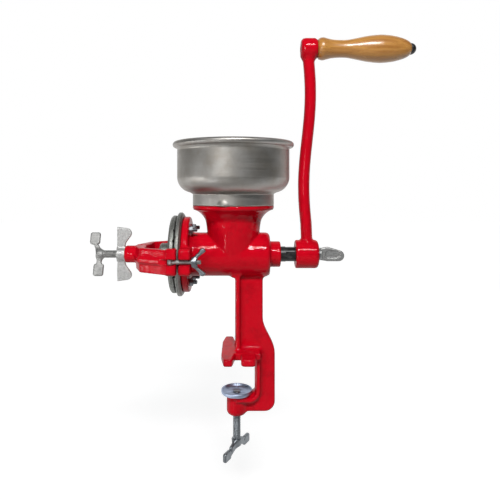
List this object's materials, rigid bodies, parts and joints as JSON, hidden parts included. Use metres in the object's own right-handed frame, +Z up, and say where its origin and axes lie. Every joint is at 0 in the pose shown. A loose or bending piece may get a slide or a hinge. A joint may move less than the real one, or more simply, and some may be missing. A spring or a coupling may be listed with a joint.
{
  "type": "hand grain mill",
  "caption": "Hand-cranked burr mill with a table clamp: round feed hopper, worm in a cast barrel, paired grinding plates set by a thrust screw in a bolted bridge, and a wooden crank grip.",
  "frame": {"origin": "on the table top, under the jaw, where the clamp screw's axis meets the jaw's underside", "axes": "+X along the shaft to the crank, +Y to the back of the mill, +Z up through the hopper"},
  "size_m": [0.3833, 0.142, 0.4927],
  "materials": {
    "red_enamel": "glossy red enamel on a sand casting",
    "burr_iron": "bare grey cast iron with a fine grain",
    "zinc_steel": "bright zinc plate with a blue tint",
    "cast_zinc": "matt grey die casting",
    "black_iron": "black oiled iron",
    "lacquered_wood": "turned hardwood under clear lacquer",
    "tinned_sheet": "satin spun sheet metal with turning marks"
  },
  "bodies": {
    "frame": {"mill_body": "red_enamel", "stationary_plate": "burr_iron", "plate_screws": "zinc_steel", "plate_nuts": "zinc_steel", "bridge": "red_enamel"},
    "thrust": {"thrust_ball": "zinc_steel"},
    "adjuster": {"adjusting_screw": "zinc_steel"},
    "lock_nut": {"adjuster_lock_nut": "cast_zinc"},
    "drive": {"auger_shaft": "black_iron", "rotating_plate": "burr_iron", "crank": "red_enamel", "grip_pin": "black_iron"},
    "crank_washer": {"crank_washer": "zinc_steel"},
    "thumb_screw": {"crank_thumb_screw": "cast_zinc"},
    "grip": {"grip": "lacquered_wood"},
    "hopper": {"hopper": "tinned_sheet"},
    "clamp_pad": {"clamp_pad": "zinc_steel"},
    "clamp_screw": {"clamp_screw": "zinc_steel"},
    "front_bolt": {"front_swing_bolt": "zinc_steel"},
    "rear_bolt": {"rear_swing_bolt": "zinc_steel"},
    "front_nut": {"front_wing_nut": "zinc_steel"},
    "rear_nut": {"rear_wing_nut": "zinc_steel"}
  },
  "joints": [
    {"name": "grind_gap", "type": "slide", "parent": "frame", "child": "thrust", "axis": [1, 0, 0], "range_m": [-0.0025, 0.0012]},
    {"name": "adjust_turn", "type": "hinge", "parent": "thrust", "child": "adjuster", "pos_m": [-0.13, 0, 0.118], "axis": [1, 0, 0], "range_deg": [-720, 345.6]},
    {"name": "crank_turn", "type": "hinge", "parent": "thrust", "child": "drive", "pos_m": [0, 0, 0.118], "axis": [1, 0, 0], "continuous": true},
    {"name": "lock_nut_turn", "type": "hinge", "parent": "frame", "child": "lock_nut", "pos_m": [-0.136, 0, 0.118], "axis": [1, 0, 0], "range_deg": [0, 180]},
    {"name": "thumb_back_off", "type": "slide", "parent": "drive", "child": "crank_washer", "axis": [1, 0, 0], "range_m": [0, 0.004]},
    {"name": "thumb_turn", "type": "hinge", "parent": "crank_washer", "child": "thumb_screw", "pos_m": [0.1, 0, 0.118], "axis": [1, 0, 0], "range_deg": [0, 1440]},
    {"name": "grip_turn", "type": "hinge", "parent": "drive", "child": "grip", "pos_m": [0.15, 0, 0.36], "axis": [1, 0, 0], "continuous": true},
    {"name": "hopper_lift", "type": "slide", "parent": "frame", "child": "hopper", "axis": [0, 0, 1], "range_m": [0, 0.06]},
    {"name": "clamp_rise", "type": "slide", "parent": "frame", "child": "clamp_pad", "axis": [0, 0, 1], "range_m": [0, 0.028]},
    {"name": "clamp_turn", "type": "hinge", "parent": "clamp_pad", "child": "clamp_screw", "pos_m": [0, 0, -0.06], "axis": [0, 0, 1], "range_deg": [0, 5040]},
    {"name": "front_bolt_swing", "type": "hinge", "parent": "frame", "child": "front_bolt", "pos_m": [-0.0711, -0.0535, 0.116], "axis": [0, 0, -1], "range_deg": [0, 90]},
    {"name": "rear_bolt_swing", "type": "hinge", "parent": "frame", "child": "rear_bolt", "pos_m": [-0.0711, 0.0535, 0.116], "axis": [0, 0, 1], "range_deg": [0, 90]},
    {"name": "front_nut_turn", "type": "hinge", "parent": "front_bolt", "child": "front_nut", "pos_m": [-0.046, -0.0535, 0.116], "axis": [1, 0, 0], "range_deg": [0, 1080]},
    {"name": "rear_nut_turn", "type": "hinge", "parent": "rear_bolt", "child": "rear_nut", "pos_m": [-0.046, 0.0535, 0.116], "axis": [1, 0, 0], "range_deg": [0, 1080]}
  ],
  "couplings": [
    {"joint": "adjust_turn", "follows": "grind_gap", "rad_per_m": 5026.5},
    {"joint": "thumb_back_off", "follows": "thumb_turn", "m_per_rad": 0.00015915},
    {"joint": "clamp_rise", "follows": "clamp_turn", "m_per_rad": 0.00031831}
  ]
}
